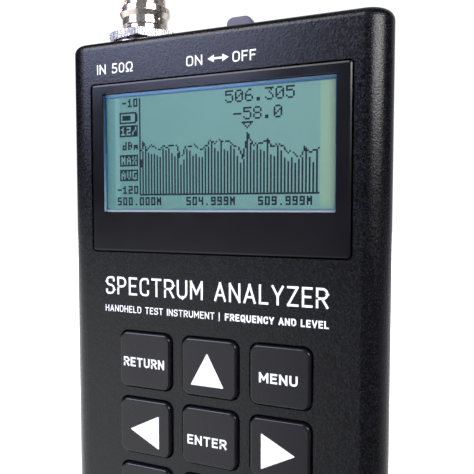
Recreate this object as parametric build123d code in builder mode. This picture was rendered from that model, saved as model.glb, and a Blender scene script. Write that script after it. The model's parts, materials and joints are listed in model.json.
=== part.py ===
from build123d import *
from math import cos, radians, sin, tan
import os

# Handheld spectrum analyser. Millimetres. +X right, +Y towards the back, +Z up.
# The origin is the centre of the bottom end face; the front face looks along -Y.

os.makedirs("parts", exist_ok=True)

# ---------------------------------------------------------------- driving dimensions
case_w = 72.8
case_d = 25.0
case_h = 113.7
wall = 1.6
front_wall = 1.8
front_edge_r = 5.0
rear_edge_r = 7.0
side_draft = 8.0
end_edge_r = 1.9
seam_y = 5.5
seam_chamfer = 0.25

front_y = -case_d / 2
rear_y = case_d / 2
inner_front_y = front_y + front_wall
inner_rear_y = rear_y - wall
inner_top_z = case_h - wall


def side_x(y, inset=0.0):
    """Half width of the flat sides at depth y; they close in towards the back."""
    widest = case_w / 2 - front_edge_r + (front_edge_r - inset) / cos(radians(side_draft))
    return widest - (y - front_y - front_edge_r) * tan(radians(side_draft))


inner_half_w = side_x(seam_y, wall)

# display
bezel_w, bezel_bottom, bezel_top = 58.6, 66.76, 103.80
view_w, view_bottom, view_top = 52.88, 75.33, 101.89
bezel_proud = 0.18
bezel_gap = 0.42
bezel_corner_r = 0.6

# keypad, three columns by three rows
key_w, key_h, key_corner_r = 12.72, 12.3, 1.7
key_gap = 0.4
key_pitch_x, key_pitch_z = 15.62, 15.05
key_centre_z = 27.4
key_proud = 0.9
key_travel = 0.5
key_edge_r = 0.5

# boards
pcb_front_y, pcb_t = -5.0, 1.6
pcb_rear_y = pcb_front_y + pcb_t
pcb_w, pcb_bottom, pcb_top = 62.0, 3.0, 103.0

# case screws and the posts that hold the main board
screw_x, screw_zs = 29.0, (12.0, 98.0)
screw_r, screw_head_r, screw_seat_y = 1.23, 2.3, 9.3
post_x, post_zs, post_r = 28.0, (22.0, 60.0), 2.2

# power switch
knob_x, knob_w, knob_top_z = 2.05, 6.5, 119.0
switch_travel = 2.2
switch_x = knob_x + switch_travel / 2

# antenna connector and whip
jack_x = -22.78
jack_r = 4.8
lug_z, lug_r, lug_reach = 120.75, 0.42, 5.2
lug_azimuth = -29.0
jack_top_z = 122.9
nut_across_flats = 15.0
nut_bottom_z, nut_top_z = 115.7, 117.5
nut_corner_azimuth = 47.5
grip_azimuth = -67.7
elbow_z = 138.3


def facing(y):
    """A sketch plane at depth y that looks forwards: sketch x is +X and sketch y is +Z."""
    return Plane.XZ.offset(-y)


def jack_plane(z):
    """A horizontal sketch plane at height z, centred on the connector axis."""
    return Plane((jack_x, 0, z))


def side_plane(z=0, y=0):
    """A forward-looking sketch plane whose origin is on the connector axis at height z."""
    return Plane((jack_x, y, z), x_dir=(1, 0, 0), z_dir=(0, -1, 0))


# ---------------------------------------------------------------- case shells
# The outer form of the closed case, cut into two shells at the seam.
with BuildPart() as outer_form:
    with BuildSketch(Plane.XY) as outer_plan:
        with BuildLine():
            Polyline(
                (-side_x(front_y), front_y),
                (side_x(front_y), front_y),
                (side_x(rear_y), rear_y),
                (-side_x(rear_y), rear_y),
                close=True,
            )
        make_face()
        fillet(outer_plan.vertices().group_by(Axis.Y)[0], front_edge_r)
        fillet(outer_plan.vertices().group_by(Axis.Y)[-1], rear_edge_r)
    extrude(amount=case_h)
    fillet(outer_form.faces().sort_by(Axis.Z)[-1].edges(), end_edge_r)
    fillet(outer_form.faces().sort_by(Axis.Z)[0].edges(), end_edge_r)

with BuildPart() as inner_form:
    with BuildSketch(Plane.XY.offset(wall)) as inner_plan:
        with BuildLine():
            Polyline(
                (-side_x(inner_front_y, wall), inner_front_y),
                (side_x(inner_front_y, wall), inner_front_y),
                (side_x(inner_rear_y, wall), inner_rear_y),
                (-side_x(inner_rear_y, wall), inner_rear_y),
                close=True,
            )
        make_face()
        fillet(inner_plan.vertices().group_by(Axis.Y)[0], front_edge_r - wall + 0.4)
        fillet(inner_plan.vertices().group_by(Axis.Y)[-1], rear_edge_r - wall)
    extrude(amount=case_h - 2 * wall)

screw_spots = [(x, z) for x in (-screw_x, screw_x) for z in screw_zs]
post_spots = [(x, z) for x in (-post_x, post_x) for z in post_zs]
boss_r = 2.8
boss_front_y = pcb_rear_y + 0.2
slot_margin = 0.3
neck_w, neck_d = 3.0, 2.4
usb_w, usb_t, usb_x, usb_y = 7.7, 3.9, 14.0, -1.45
usb_clearance = 0.3

with BuildPart() as front_housing:
    add(outer_form.part)
    split(bisect_by=facing(seam_y), keep=Keep.TOP)
    add(inner_form.part, mode=Mode.SUBTRACT)
    # window for the display bezel
    with BuildSketch(facing(inner_front_y)):
        with Locations((0, (bezel_bottom + bezel_top) / 2)):
            RectangleRounded(
                bezel_w + 2 * bezel_gap,
                bezel_top - bezel_bottom + 2 * bezel_gap,
                bezel_corner_r + bezel_gap,
            )
    extrude(amount=front_wall + 1, mode=Mode.SUBTRACT)
    # nine key holes
    with BuildSketch(facing(inner_front_y)):
        with Locations((0, key_centre_z)):
            with GridLocations(key_pitch_x, key_pitch_z, 3, 3):
                RectangleRounded(key_w + 2 * key_gap, key_h + 2 * key_gap, key_corner_r + key_gap)
    extrude(amount=front_wall + 1, mode=Mode.SUBTRACT)
    # connector hole and switch slot in the top end
    with BuildSketch(Plane.XY.offset(inner_top_z - 1)):
        with Locations((jack_x, 0)):
            Circle(jack_r + 0.05)
        with Locations((switch_x, 0)):
            Rectangle(neck_w + switch_travel + 2 * slot_margin, neck_d + 2 * slot_margin)
    extrude(amount=wall + 2, mode=Mode.SUBTRACT)
    # socket opening in the bottom end
    with BuildSketch(Plane.XY.offset(-1)):
        with Locations((usb_x, usb_y)):
            RectangleRounded(usb_w + 2 * usb_clearance, usb_t + 2 * usb_clearance, 0.8)
    extrude(amount=wall + 2, mode=Mode.SUBTRACT)
    # screw bosses joined to the side walls, behind the main board
    with BuildSketch(facing(seam_y)):
        with Locations(*screw_spots):
            Circle(boss_r)
        for x, z in screw_spots:
            side = 1 if x > 0 else -1
            with Locations((side * (screw_x + inner_half_w + 1.3) / 2, z)):
                Rectangle(inner_half_w - screw_x + 1.3, 2 * boss_r)
    extrude(amount=seam_y - boss_front_y)
    with BuildSketch(facing(seam_y + 1)):
        with Locations(*screw_spots):
            Circle(screw_r + 0.02)
    extrude(amount=seam_y + 1 - boss_front_y - 1.4, mode=Mode.SUBTRACT)
    # posts that carry the main board
    with BuildSketch(facing(pcb_front_y)):
        with Locations(*post_spots):
            Circle(post_r)
    extrude(amount=pcb_front_y - inner_front_y + 0.2)
    with BuildSketch(facing(pcb_front_y)):
        with Locations(*post_spots):
            Circle(0.82)
    extrude(amount=4.4, mode=Mode.SUBTRACT)
front_housing.part.label = "front_housing"
export_step(front_housing.part, "parts/front_housing.step")

lip_gap, lip_t, lip_depth = 0.15, 0.9, 1.2
label_w, label_h, label_z, label_recess = 46.0, 30.0, 66.0, 0.25
pocket_r = screw_head_r + 0.3

with BuildPart() as rear_cover:
    add(outer_form.part)
    split(bisect_by=facing(seam_y), keep=Keep.BOTTOM)
    seam_face = rear_cover.faces().sort_by(Axis.Y)[0]
    chamfer(seam_face.edges(), seam_chamfer)
    add(inner_form.part, mode=Mode.SUBTRACT)
    # locating tabs that reach inside the front housing
    with BuildSketch(facing(seam_y + 1)):
        for side in (-1, 1):
            with Locations((side * (inner_half_w - lip_gap - lip_t / 2), 55)):
                Rectangle(lip_t, 60)
        with Locations((0, wall + lip_gap + lip_t / 2)):
            Rectangle(36, lip_t)
        with Locations((20, inner_top_z - lip_gap - lip_t / 2)):
            Rectangle(16, lip_t)
    extrude(amount=lip_depth + 1)
    with BuildSketch(facing(seam_y + 1)):
        for side in (-1, 1):
            with Locations((side * (inner_half_w - lip_t / 2), 55)):
                Rectangle(lip_t + 0.4, 60)
        with Locations((0, wall + lip_t / 2 - 0.2)):
            Rectangle(36, lip_t + 0.4)
        with Locations((20, inner_top_z - lip_t / 2 + 0.2)):
            Rectangle(16, lip_t + 0.4)
    extrude(amount=-1)
    # screw bosses, clearance holes and head pockets
    with BuildSketch(facing(inner_rear_y + 0.2)):
        with Locations(*screw_spots):
            Circle(boss_r)
    extrude(amount=inner_rear_y + 0.2 - seam_y)
    add(outer_form.part, mode=Mode.INTERSECT)
    with BuildSketch(facing(rear_y + 1)):
        with Locations(*screw_spots):
            Circle(screw_r + 0.17)
    extrude(amount=rear_y + 1 - seam_y + 1, mode=Mode.SUBTRACT)
    with BuildSketch(facing(rear_y + 1)):
        with Locations(*screw_spots):
            Circle(pocket_r)
    extrude(amount=rear_y + 1 - screw_seat_y, mode=Mode.SUBTRACT)
    # shallow recess for the rating label
    with BuildSketch(facing(rear_y)):
        with Locations((0, label_z)):
            RectangleRounded(label_w, label_h, 1.5)
    extrude(amount=label_recess, mode=Mode.SUBTRACT)
rear_cover.part.label = "rear_cover"
export_step(rear_cover.part, "parts/rear_cover.step")

with BuildPart() as rear_label:
    with BuildSketch(facing(rear_y - label_recess + 0.15)):
        with Locations((0, label_z)):
            RectangleRounded(label_w - 0.4, label_h - 0.4, 1.3)
    extrude(amount=0.15)
rear_label.part.label = "rear_label"
export_step(rear_label.part, "parts/rear_label.step")

# Four machine screws with cross recesses, put in from the back.
with BuildPart() as case_screws:
    with BuildSketch(facing(screw_seat_y)):
        with Locations(*screw_spots):
            Circle(screw_r)
    extrude(amount=screw_seat_y)
    with BuildSketch(facing(screw_seat_y + 1.5)):
        with Locations(*screw_spots):
            Circle(screw_head_r)
    extrude(amount=1.5)
    fillet(case_screws.faces().group_by(Axis.Y)[-1].edges(), 0.4)
    with BuildSketch(facing(screw_seat_y + 1.5)):
        with Locations(*screw_spots):
            Rectangle(2.6, 0.6)
            Rectangle(0.6, 2.6)
    extrude(amount=0.9, mode=Mode.SUBTRACT)
case_screws.part.label = "case_screws"
export_step(case_screws.part, "parts/case_screws.step")

# ---------------------------------------------------------------- display
bezel_centre_z = (bezel_bottom + bezel_top) / 2
view_centre_z = (view_bottom + view_top) / 2
view_h = view_top - view_bottom
bezel_front_y = front_y - bezel_proud
bezel_step_y = inner_front_y + 0.05
bezel_flange_t = 0.8
bezel_bevel_w, bezel_bevel_t = 0.32, 0.07
bezel_facet_w, bezel_facet_tilt = 0.22, 31.0

with BuildPart() as display_bezel:
    with BuildSketch(facing(bezel_step_y)):
        with Locations((0, bezel_centre_z)):
            RectangleRounded(bezel_w, bezel_top - bezel_bottom, bezel_corner_r)
    extrude(amount=bezel_step_y - bezel_front_y)
    bezel_face = display_bezel.faces().sort_by(Axis.Y)[0]
    chamfer(bezel_face.edges(), bezel_bevel_w, bezel_bevel_t, reference=bezel_face)
    # a steeper facet down each long edge
    for side in (-1, 1):
        facet = Plane(
            (side * (bezel_w / 2 - bezel_facet_w), bezel_front_y + bezel_bevel_t * 0.7, bezel_centre_z),
            x_dir=(0, 0, 1),
            z_dir=(side * sin(radians(bezel_facet_tilt)), -cos(radians(bezel_facet_tilt)), 0),
        )
        split(bisect_by=facet, keep=Keep.BOTTOM)
    with BuildSketch(facing(bezel_step_y + bezel_flange_t)):
        with Locations((0, bezel_centre_z)):
            Rectangle(bezel_w + 3.0, bezel_top - bezel_bottom + 3.0)
    extrude(amount=bezel_flange_t)
    with BuildSketch(facing(bezel_step_y + bezel_flange_t)):
        with Locations((0, view_centre_z)):
            RectangleRounded(view_w, view_h, 0.5)
    extrude(amount=bezel_flange_t + 3, mode=Mode.SUBTRACT)
display_bezel.part.label = "display_bezel"
export_step(display_bezel.part, "parts/display_bezel.step")

window_front_y, window_t = front_y + 0.02, 0.75
with BuildPart() as display_window:
    with BuildSketch(facing(window_front_y + window_t)):
        with Locations((0, view_centre_z)):
            RectangleRounded(view_w - 0.16, view_h - 0.16, 0.45)
    extrude(amount=window_t)
display_window.part.label = "display_window"
export_step(display_window.part, "parts/display_window.step")

# Stamped metal frame: a raised ring that fills the bezel's opening, and a flange behind it.
frame_front_y = window_front_y + window_t + 0.05
frame_step_y = bezel_step_y + bezel_flange_t + 0.05
glass_w, glass_bottom, glass_top = 52.2, 76.05, 100.95
glass_centre_z = (glass_bottom + glass_top) / 2
glass_h = glass_top - glass_bottom
with BuildPart() as lcd_frame:
    with BuildSketch(facing(frame_step_y)):
        with Locations((0, view_centre_z)):
            RectangleRounded(view_w - 0.24, view_h - 0.24, 0.4)
    extrude(amount=frame_step_y - frame_front_y)
    with BuildSketch(facing(frame_step_y + 0.5)):
        with Locations((0, view_centre_z)):
            Rectangle(58, 32)
    extrude(amount=0.5)
    with BuildSketch(facing(frame_step_y + 0.5)):
        with Locations((0, glass_centre_z)):
            Rectangle(glass_w, glass_h)
    extrude(amount=4, mode=Mode.SUBTRACT)
lcd_frame.part.label = "lcd_frame"
export_step(lcd_frame.part, "parts/lcd_frame.step")

glass_front_y, glass_back_y = frame_front_y + 0.1, frame_step_y + 0.1
with BuildPart() as lcd_glass:
    with BuildSketch(facing(glass_back_y)):
        with Locations((0, glass_centre_z)):
            Rectangle(glass_w - 0.1, glass_h - 0.1)
    extrude(amount=glass_back_y - glass_front_y)
lcd_glass.part.label = "lcd_glass"
export_step(lcd_glass.part, "parts/lcd_glass.step")

light_front_y, light_t = frame_step_y + 0.55, 2.2
with BuildPart() as lcd_backlight:
    with BuildSketch(facing(light_front_y + light_t)):
        with Locations((0, view_centre_z)):
            RectangleRounded(56, 30, 0.8)
    extrude(amount=light_t)
lcd_backlight.part.label = "lcd_backlight"
export_step(lcd_backlight.part, "parts/lcd_backlight.step")

lcd_pcb_front_y = light_front_y + light_t + 0.05
with BuildPart() as lcd_pcb:
    with BuildSketch(facing(lcd_pcb_front_y + 1.2)):
        with Locations((0, view_centre_z - 3)):
            RectangleRounded(60, 36, 1.0)
    extrude(amount=1.2)
lcd_pcb.part.label = "lcd_pcb"
export_step(lcd_pcb.part, "parts/lcd_pcb.step")

header_pins = 20
with BuildPart() as lcd_header:
    with BuildSketch(facing(pcb_front_y)):
        with Locations((0, view_centre_z - 19)):
            with GridLocations(2.0, 2.0, header_pins, 1):
                Rectangle(0.6, 0.6)
    extrude(amount=pcb_front_y - lcd_pcb_front_y - 1.2)
lcd_header.part.label = "lcd_header"
export_step(lcd_header.part, "parts/lcd_header.step")

# ---------------------------------------------------------------- main board and what it carries
with BuildPart() as main_pcb:
    with BuildSketch(facing(pcb_rear_y)):
        with Locations((0, (pcb_bottom + pcb_top) / 2)):
            RectangleRounded(pcb_w, pcb_top - pcb_bottom, 1.5)
        with Locations(*post_spots):
            Circle(1.1, mode=Mode.SUBTRACT)
    extrude(amount=pcb_t)
main_pcb.part.label = "main_pcb"
export_step(main_pcb.part, "parts/main_pcb.step")

with BuildPart() as pcb_screws:
    with BuildSketch(facing(pcb_rear_y + 1.2)):
        with Locations(*post_spots):
            Circle(1.9)
    extrude(amount=1.2)
    with BuildSketch(facing(pcb_rear_y)):
        with Locations(*post_spots):
            Circle(0.8)
    extrude(amount=5.4)
    with BuildSketch(facing(pcb_rear_y + 1.2)):
        with Locations(*post_spots):
            Rectangle(2.2, 0.5)
            Rectangle(0.5, 2.2)
    extrude(amount=0.6, mode=Mode.SUBTRACT)
pcb_screws.part.label = "pcb_screws"
export_step(pcb_screws.part, "parts/pcb_screws.step")

tact_size, tact_body_t, tact_button_t = 6.0, 3.1, 0.4
with BuildPart() as tact_switches:
    with BuildSketch(facing(pcb_front_y)):
        with Locations((0, key_centre_z)):
            with GridLocations(key_pitch_x, key_pitch_z, 3, 3):
                RectangleRounded(tact_size, tact_size, 0.5)
    extrude(amount=tact_body_t)
    with BuildSketch(facing(pcb_front_y - tact_body_t)):
        with Locations((0, key_centre_z)):
            with GridLocations(key_pitch_x, key_pitch_z, 3, 3):
                Circle(1.7)
    extrude(amount=tact_button_t)
tact_switches.part.label = "tact_switches"
export_step(tact_switches.part, "parts/tact_switches.step")

can_w, can_h, can_t, can_skin = 23.0, 25.0, 3.0, 0.3
can_x, can_z = -17.5, 82.0
with BuildPart() as rf_shield:
    with BuildSketch(facing(pcb_rear_y + can_t)):
        with Locations((can_x, can_z)):
            RectangleRounded(can_w, can_h, 0.8)
    extrude(amount=can_t)
    with BuildSketch(facing(pcb_rear_y + can_t - can_skin)):
        with Locations((can_x, can_z)):
            Rectangle(can_w - 2 * can_skin, can_h - 2 * can_skin)
    extrude(amount=can_t, mode=Mode.SUBTRACT)
rf_shield.part.label = "rf_shield"
export_step(rf_shield.part, "parts/rf_shield.step")

# Synthesiser chip under the can, the controller, and the charger chip.
with BuildPart() as integrated_circuits:
    with BuildSketch(facing(pcb_rear_y + 1.2)):
        with Locations((can_x, can_z)):
            Rectangle(8, 8)
        with Locations((11, 84)):
            Rectangle(12, 12)
        with Locations((0, 15)):
            Rectangle(5, 4)
    extrude(amount=1.2)
integrated_circuits.part.label = "integrated_circuits"
export_step(integrated_circuits.part, "parts/integrated_circuits.step")

with BuildPart() as chip_components:
    with BuildSketch(facing(pcb_rear_y + 0.6)):
        for x, z in ((11, 74), (11, 93.5), (0, 22)):
            with Locations((x, z)):
                with GridLocations(2.4, 2.0, 5, 2):
                    Rectangle(1.6, 0.8)
    extrude(amount=0.6)
chip_components.part.label = "chip_components"
export_step(chip_components.part, "parts/chip_components.step")

with BuildPart() as buzzer:
    with BuildSketch(facing(pcb_rear_y + 3.5)):
        with Locations((24, 84)):
            Circle(4.5)
    extrude(amount=3.5)
    with BuildSketch(facing(pcb_rear_y + 3.5)):
        with Locations((24, 84)):
            Circle(0.9)
    extrude(amount=1.5, mode=Mode.SUBTRACT)
buzzer.part.label = "buzzer"
export_step(buzzer.part, "parts/buzzer.step")

battery_w, battery_h, battery_z, battery_t = 48.0, 46.0, 43.0, 7.2
with BuildPart() as battery:
    with BuildSketch(facing(inner_rear_y - 0.1)):
        with Locations((0, battery_z)):
            RectangleRounded(battery_w, battery_h, 1.5)
    extrude(amount=battery_t)
    fillet(battery.edges().filter_by(Axis.Z), 1.2)
battery.part.label = "battery"
export_step(battery.part, "parts/battery.step")

with BuildPart() as battery_connector:
    with BuildSketch(facing(pcb_rear_y + 5)):
        with Locations((16, 69.5)):
            Rectangle(7.5, 4.6)
    extrude(amount=5)
battery_connector.part.label = "battery_connector"
export_step(battery_connector.part, "parts/battery_connector.step")

# Socket in the bottom end: a sheet-metal shell with a contact tongue inside.
usb_depth, usb_mouth_z, usb_skin = 9.0, 0.4, 0.35
with BuildPart() as usb_socket:
    with BuildSketch(Plane.XY.offset(usb_mouth_z)):
        with Locations((usb_x, usb_y)):
            RectangleRounded(usb_w, usb_t, 0.7)
    extrude(amount=usb_depth)
    with BuildSketch(Plane.XY.offset(usb_mouth_z)):
        with Locations((usb_x, usb_y)):
            Rectangle(usb_w - 2 * usb_skin, usb_t - 2 * usb_skin)
    extrude(amount=usb_depth - 1.2, mode=Mode.SUBTRACT)
    with BuildSketch(Plane.XY.offset(usb_mouth_z + 0.8)):
        with Locations((usb_x, usb_y)):
            Rectangle(4.6, 0.8)
    extrude(amount=usb_depth - 1.4)
usb_socket.part.label = "usb_socket"
export_step(usb_socket.part, "parts/usb_socket.step")

# ---------------------------------------------------------------- power switch
switch_w, switch_d, switch_top_z, switch_h = 13.0, 6.0, inner_top_z - 0.2, 5.2
neck_bottom_z = switch_top_z - 3.0
with BuildPart() as power_switch:
    with BuildSketch(Plane.XY.offset(switch_top_z - switch_h)):
        with Locations((switch_x, 0)):
            Rectangle(switch_w, switch_d)
    extrude(amount=switch_h)
    with BuildSketch(Plane.XY.offset(neck_bottom_z - 0.2)):
        with Locations((switch_x, 0)):
            Rectangle(neck_w + switch_travel + 0.6, neck_d + 0.3)
    extrude(amount=switch_h, mode=Mode.SUBTRACT)
    with BuildSketch(Plane.XY.offset(switch_top_z - switch_h - 2.6)):
        with Locations((switch_x, 0)):
            with GridLocations(4.0, 1.0, 3, 1):
                Rectangle(1.0, 0.5)
    extrude(amount=2.6)
power_switch.part.label = "power_switch"
export_step(power_switch.part, "parts/power_switch.step")

knob_bottom_z, knob_d, knob_shoulder_r = case_h + 0.35, 2.8, 1.6
with BuildPart() as power_knob:
    with BuildSketch(Plane.XZ) as knob_outline:
        with BuildLine():
            Polyline(
                (knob_x - knob_w / 2, knob_bottom_z),
                (knob_x - knob_w / 2 + 0.35, knob_top_z),
                (knob_x + knob_w / 2 - 0.35, knob_top_z),
                (knob_x + knob_w / 2, knob_bottom_z),
                close=True,
            )
        make_face()
        fillet(knob_outline.vertices().group_by(Axis.Y)[-1], knob_shoulder_r)
    extrude(amount=knob_d / 2, both=True)
    fillet(power_knob.faces().filter_by(Axis.Y).edges(), 0.5)
    with BuildSketch(Plane.XY.offset(neck_bottom_z)):
        with Locations((knob_x, 0)):
            Rectangle(neck_w, neck_d)
    extrude(amount=knob_bottom_z - neck_bottom_z + 0.5)
power_knob.part.label = "power_knob"
export_step(power_knob.part, "parts/power_knob.step")

# ---------------------------------------------------------------- keys
# Each key has a face that stands proud, a flange behind the front wall and a pusher.
key_names = (
    ("key_lower_left", "key_down", "key_lower_right"),
    ("key_left", "key_enter", "key_right"),
    ("key_return", "key_up", "key_menu"),
)
key_front_y = front_y - key_proud
flange_front_y = inner_front_y + 0.12
flange_back_y = flange_front_y + 0.8
pusher_end_y = pcb_front_y - tact_body_t - tact_button_t - key_travel - 0.05
for row, names in enumerate(key_names):
    for column, key_name in enumerate(names):
        centre = ((column - 1) * key_pitch_x, key_centre_z + (row - 1) * key_pitch_z)
        with BuildPart() as key:
            with BuildSketch(facing(flange_front_y)):
                with Locations(centre):
                    RectangleRounded(key_w, key_h, key_corner_r)
            extrude(amount=flange_front_y - key_front_y)
            fillet(key.faces().sort_by(Axis.Y)[0].edges(), key_edge_r)
            with BuildSketch(facing(flange_back_y)):
                with Locations(centre):
                    Rectangle(key_w + 1.8, key_h + 1.8)
            extrude(amount=flange_back_y - flange_front_y)
            with BuildSketch(facing(pusher_end_y)):
                with Locations(centre):
                    Circle(2.0)
            extrude(amount=pusher_end_y - flange_back_y)
        key.part.label = key_name
        export_step(key.part, f"parts/{key_name}.step")

# ---------------------------------------------------------------- connector on the top end
jack_axis = Axis((jack_x, 0, 0), (0, 0, 1))
jack_rear_z, contact_bottom_z = 104.4, 103.4
bore_r, bore_floor_z = 4.05, 115.0
with BuildPart() as jack_body:
    with BuildSketch(jack_plane(jack_rear_z)):
        Circle(4.4)
    extrude(amount=inner_top_z - jack_rear_z)
    with BuildSketch(jack_plane(inner_top_z - 1.5)):
        Circle(7.0)
    extrude(amount=1.5)
    with BuildSketch(jack_plane(inner_top_z)):
        Circle(jack_r)
    extrude(amount=jack_top_z - inner_top_z)
    chamfer(jack_body.faces().sort_by(Axis.Z)[-1].edges(), 0.25)
    with BuildSketch(jack_plane(bore_floor_z)):
        Circle(bore_r)
    extrude(amount=jack_top_z - bore_floor_z + 1, mode=Mode.SUBTRACT)
    with BuildSketch(jack_plane(jack_rear_z - 1)):
        Circle(2.1)
    extrude(amount=bore_floor_z - jack_rear_z + 2, mode=Mode.SUBTRACT)
    # two bayonet lugs
    for turn in (0, 180):
        azimuth = radians(lug_azimuth + turn)
        outward = (cos(azimuth), sin(azimuth), 0)
        start = (jack_x + 4.5 * outward[0], 4.5 * outward[1], lug_z)
        with BuildSketch(Plane(start, z_dir=outward)):
            Circle(lug_r)
        extrude(amount=lug_reach - 4.5)
jack_body.part.label = "jack_body"
export_step(jack_body.part, "parts/jack_body.step")

with BuildPart() as jack_insulator:
    with BuildSketch(jack_plane(jack_rear_z)):
        Circle(2.08)
    extrude(amount=bore_floor_z - jack_rear_z)
    with BuildSketch(jack_plane(bore_floor_z)):
        Circle(1.5)
    extrude(amount=5)
    with BuildSketch(jack_plane(jack_rear_z - 1)):
        Circle(0.69)
    extrude(amount=20, mode=Mode.SUBTRACT)
jack_insulator.part.label = "jack_insulator"
export_step(jack_insulator.part, "parts/jack_insulator.step")

with BuildPart() as jack_contact:
    with BuildSketch(jack_plane(contact_bottom_z)):
        Circle(0.67)
    extrude(amount=119.5 - contact_bottom_z)
    with BuildSketch(jack_plane(114.5)):
        Circle(0.46)
    extrude(amount=6, mode=Mode.SUBTRACT)
jack_contact.part.label = "jack_contact"
export_step(jack_contact.part, "parts/jack_contact.step")

with BuildPart() as rf_feed_block:
    with BuildSketch(jack_plane(98.6)):
        with Locations((0, (pcb_rear_y + 1.4) / 2)):
            Rectangle(4.2, 1.4 - pcb_rear_y)
    extrude(amount=contact_bottom_z - 98.6)
rf_feed_block.part.label = "rf_feed_block"
export_step(rf_feed_block.part, "parts/rf_feed_block.step")

# Stack on the barrel, from the case up: seal, flat washer, toothed lock washer, nut.
seal_top_z, washer_top_z = 114.2, 114.9
with BuildPart() as jack_seal:
    with BuildSketch(jack_plane(case_h)):
        Circle(7.0)
        Circle(jack_r + 0.05, mode=Mode.SUBTRACT)
    extrude(amount=seal_top_z - case_h)
jack_seal.part.label = "jack_seal"
export_step(jack_seal.part, "parts/jack_seal.step")

with BuildPart() as jack_washer:
    with BuildSketch(jack_plane(seal_top_z)):
        Circle(8.3)
        Circle(jack_r + 0.05, mode=Mode.SUBTRACT)
    extrude(amount=washer_top_z - seal_top_z)
    fillet(jack_washer.edges().filter_by(GeomType.CIRCLE).sort_by(SortBy.RADIUS)[-2:], 0.2)
jack_washer.part.label = "jack_washer"
export_step(jack_washer.part, "parts/jack_washer.step")

lock_teeth = 12
with BuildPart() as lock_washer:
    with BuildSketch(jack_plane(washer_top_z)):
        Circle(7.5)
        Circle(jack_r + 0.05, mode=Mode.SUBTRACT)
        with PolarLocations(7.5, lock_teeth):
            Rectangle(1.6, 1.0, mode=Mode.SUBTRACT)
    extrude(amount=nut_bottom_z - washer_top_z)
lock_washer.part.label = "lock_washer"
export_step(lock_washer.part, "parts/lock_washer.step")

nut_corner_r = nut_across_flats / 2 / cos(radians(30))
nut_chamfer_w, nut_chamfer_h = 0.5, 0.28
with BuildPart() as jack_nut:
    with BuildSketch(jack_plane(nut_bottom_z).rotated((0, 0, nut_corner_azimuth))):
        RegularPolygon(nut_corner_r, 6)
    extrude(amount=nut_top_z - nut_bottom_z)
    # both ends of the corners are chamfered by turning
    with BuildSketch(side_plane()):
        with BuildLine():
            Polyline(
                (0, nut_bottom_z),
                (nut_corner_r - nut_chamfer_w, nut_bottom_z),
                (nut_corner_r, nut_bottom_z + nut_chamfer_h),
                (nut_corner_r, nut_top_z - nut_chamfer_h),
                (nut_corner_r - nut_chamfer_w, nut_top_z),
                (0, nut_top_z),
                close=True,
            )
        make_face()
    revolve(axis=jack_axis, mode=Mode.INTERSECT)
    with BuildSketch(jack_plane(nut_bottom_z)):
        Circle(jack_r + 0.02)
    extrude(amount=nut_top_z - nut_bottom_z, mode=Mode.SUBTRACT)
jack_nut.part.label = "jack_nut"
export_step(jack_nut.part, "parts/jack_nut.step")

# ---------------------------------------------------------------- plug with bayonet sleeve
skirt_bottom_z, rim_z, grip_top_z, sleeve_top_z = 119.6, 122.2, 123.8, 128.0
skirt_r, grip_r, upper_grip_r, groove_r = 5.4, 6.0, 4.95, 4.55
sleeve_bore_r, web_z, neck_bore_r = jack_r + 0.1, 123.15, 3.05
channel_r, channel_half_w, sleeve_turn = 5.2, 0.85, 75.0
unlock_axis = Axis((jack_x, 0, 0), (0, 0, -1))
notch_count, groove_h = 6, 0.35
cone_bottom_z = rim_z - 1.0

with BuildPart() as coupling_sleeve:
    with BuildSketch(side_plane()):
        with BuildLine():
            Polyline(
                (sleeve_bore_r, skirt_bottom_z),
                (skirt_r, skirt_bottom_z),
                (skirt_r, cone_bottom_z),
                (grip_r, rim_z + 0.15),
                (grip_r, grip_top_z - 0.2),
                (grip_r - 0.2, grip_top_z),
                (groove_r, grip_top_z),
                (groove_r, grip_top_z + groove_h),
                (upper_grip_r, grip_top_z + groove_h),
                (upper_grip_r, sleeve_top_z - 0.3),
                (upper_grip_r - 0.3, sleeve_top_z),
                (neck_bore_r, sleeve_top_z),
                (neck_bore_r, web_z),
                (sleeve_bore_r, web_z),
                close=True,
            )
        make_face()
    revolve(axis=jack_axis)
    # wide notches round both rows of the grip
    for z, height, radius in (
        (rim_z + 0.3, grip_top_z - rim_z, grip_r),
        (grip_top_z + groove_h, sleeve_top_z - grip_top_z, upper_grip_r),
    ):
        with BuildSketch(jack_plane(z).rotated((0, 0, grip_azimuth))):
            with PolarLocations(radius + 0.05, notch_count):
                Rectangle(1.0, 2.5)
        extrude(amount=height, mode=Mode.SUBTRACT)
    # the round hole in which each lug rests, and the blind channel it turns along inside
    for turn in (0, 180):
        azimuth = radians(lug_azimuth + turn)
        outward = (cos(azimuth), sin(azimuth), 0)
        with BuildSketch(Plane((jack_x, 0, lug_z), z_dir=outward)):
            Circle(channel_half_w)
        extrude(amount=skirt_r + 1, mode=Mode.SUBTRACT)
        channel_plane = Plane((jack_x, 0, lug_z), x_dir=outward, z_dir=(outward[1], -outward[0], 0))
        with BuildSketch(channel_plane):
            with Locations((channel_r / 2, 0)):
                Rectangle(channel_r, 2 * channel_half_w)
        revolve(axis=unlock_axis, revolution_arc=sleeve_turn, mode=Mode.SUBTRACT)
        entry = azimuth - radians(sleeve_turn)
        along = (cos(entry), sin(entry), 0)
        with BuildSketch(Plane((jack_x, 0, skirt_bottom_z - 1), x_dir=along)):
            with Locations((channel_r / 2, 0)):
                Rectangle(channel_r, 2 * channel_half_w)
        extrude(amount=lug_z + channel_half_w - skirt_bottom_z + 1, mode=Mode.SUBTRACT)
coupling_sleeve.part.label = "coupling_sleeve"
export_step(coupling_sleeve.part, "parts/coupling_sleeve.step")

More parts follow.
